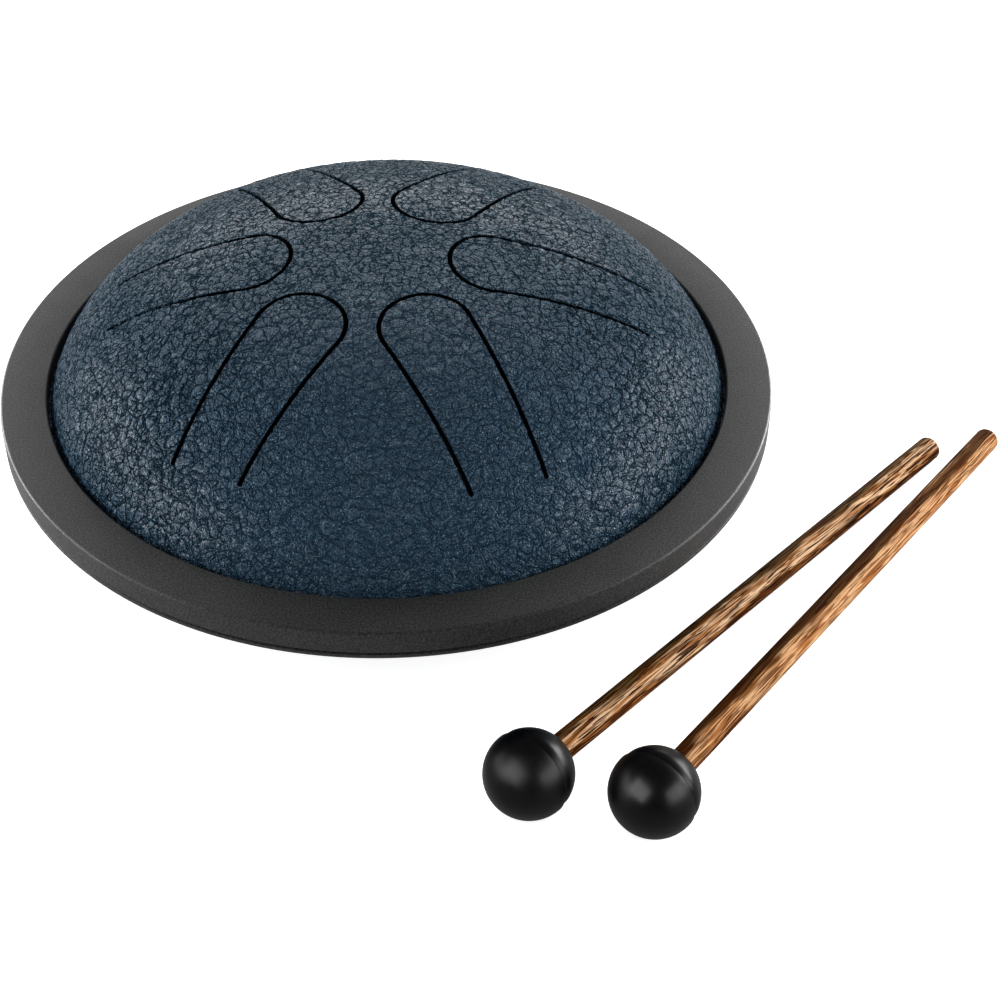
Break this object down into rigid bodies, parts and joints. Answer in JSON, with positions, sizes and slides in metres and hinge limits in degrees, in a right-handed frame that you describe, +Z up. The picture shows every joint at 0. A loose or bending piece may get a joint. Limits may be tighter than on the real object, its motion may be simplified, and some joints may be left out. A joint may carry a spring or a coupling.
{
  "type": "steel tongue drum",
  "caption": "Small domed steel tongue drum with a wide rubber rim, slotted sprung tongues and ball-headed wooden mallets lying beside it.",
  "frame": {"origin": "on the drum's axis, at the level of the surface that its feet stand on", "axes": "+Z is up along the drum's axis, -Y faces the player, and the mallets lie on the -Y and +X side"},
  "size_m": [0.2406, 0.2149, 0.0657],
  "materials": {
    "blue_wrinkle_coat": "navy wrinkle powder coat, satin",
    "rim_rubber": "matte dark grey moulded rubber",
    "adhesive": "matte",
    "foot_rubber": "matte black rubber",
    "stick_wood": "oiled hardwood with dark streaks",
    "head_rubber": "semi-gloss black rubber"
  },
  "bodies": {
    "drum": {"top_shell": "blue_wrinkle_coat", "bottom_shell": "blue_wrinkle_coat", "seam_adhesive": "adhesive", "rim": "rim_rubber", "foot_front_left": "foot_rubber", "foot_front_right": "foot_rubber", "foot_back_left": "foot_rubber", "foot_back_right": "foot_rubber"},
    "tongue_front_left": {"tongue_front_left": "blue_wrinkle_coat"},
    "tongue_front_right": {"tongue_front_right": "blue_wrinkle_coat"},
    "tongue_right": {"tongue_right": "blue_wrinkle_coat"},
    "tongue_back_right": {"tongue_back_right": "blue_wrinkle_coat"},
    "tongue_back_left": {"tongue_back_left": "blue_wrinkle_coat"},
    "tongue_left": {"tongue_left": "blue_wrinkle_coat"},
    "mallet_left": {"stick_left": "stick_wood", "head_left": "head_rubber"},
    "mallet_right": {"stick_right": "stick_wood", "head_right": "head_rubber"}
  },
  "joints": [
    {"name": "front_left_flex", "type": "hinge", "parent": "drum", "child": "tongue_front_left", "pos_m": [-0.03892, -0.0545, 0.04539], "axis": [0.8503, -0.5263, 0], "range_deg": [-1, 1], "stiffness_Nm_per_rad": 34.4},
    {"name": "front_right_flex", "type": "hinge", "parent": "drum", "child": "tongue_front_right", "pos_m": [0.02414, -0.06193, 0.04583], "axis": [0.9433, 0.332, 0], "range_deg": [-1, 1], "stiffness_Nm_per_rad": 32.6},
    {"name": "right_flex", "type": "hinge", "parent": "drum", "child": "tongue_right", "pos_m": [0.05942, -0.00868, 0.05064], "axis": [0.1536, 0.9881, 0], "range_deg": [-1, 1], "stiffness_Nm_per_rad": 33.8},
    {"name": "back_right_flex", "type": "hinge", "parent": "drum", "child": "tongue_back_right", "pos_m": [0.03, 0.04466, 0.05422], "axis": [-0.8212, 0.5707, 0], "range_deg": [-1, 1], "stiffness_Nm_per_rad": 37.5},
    {"name": "back_left_flex", "type": "hinge", "parent": "drum", "child": "tongue_back_left", "pos_m": [-0.02789, 0.04865, 0.05301], "axis": [-0.9048, -0.4258, 0], "range_deg": [-1, 1], "stiffness_Nm_per_rad": 38.5},
    {"name": "left_flex", "type": "hinge", "parent": "drum", "child": "tongue_left", "pos_m": [-0.06225, 0.00154, 0.04914], "axis": [-0.0837, -0.9965, 0], "range_deg": [-1, 1], "stiffness_Nm_per_rad": 37.1},
    {"name": "mallet_left_lift", "type": "slide", "parent": "drum", "child": "mallet_left", "axis": [0, 0, 1], "range_m": [0, 0.12]},
    {"name": "mallet_right_lift", "type": "slide", "parent": "drum", "child": "mallet_right", "axis": [0, 0, 1], "range_m": [0, 0.12]}
  ]
}
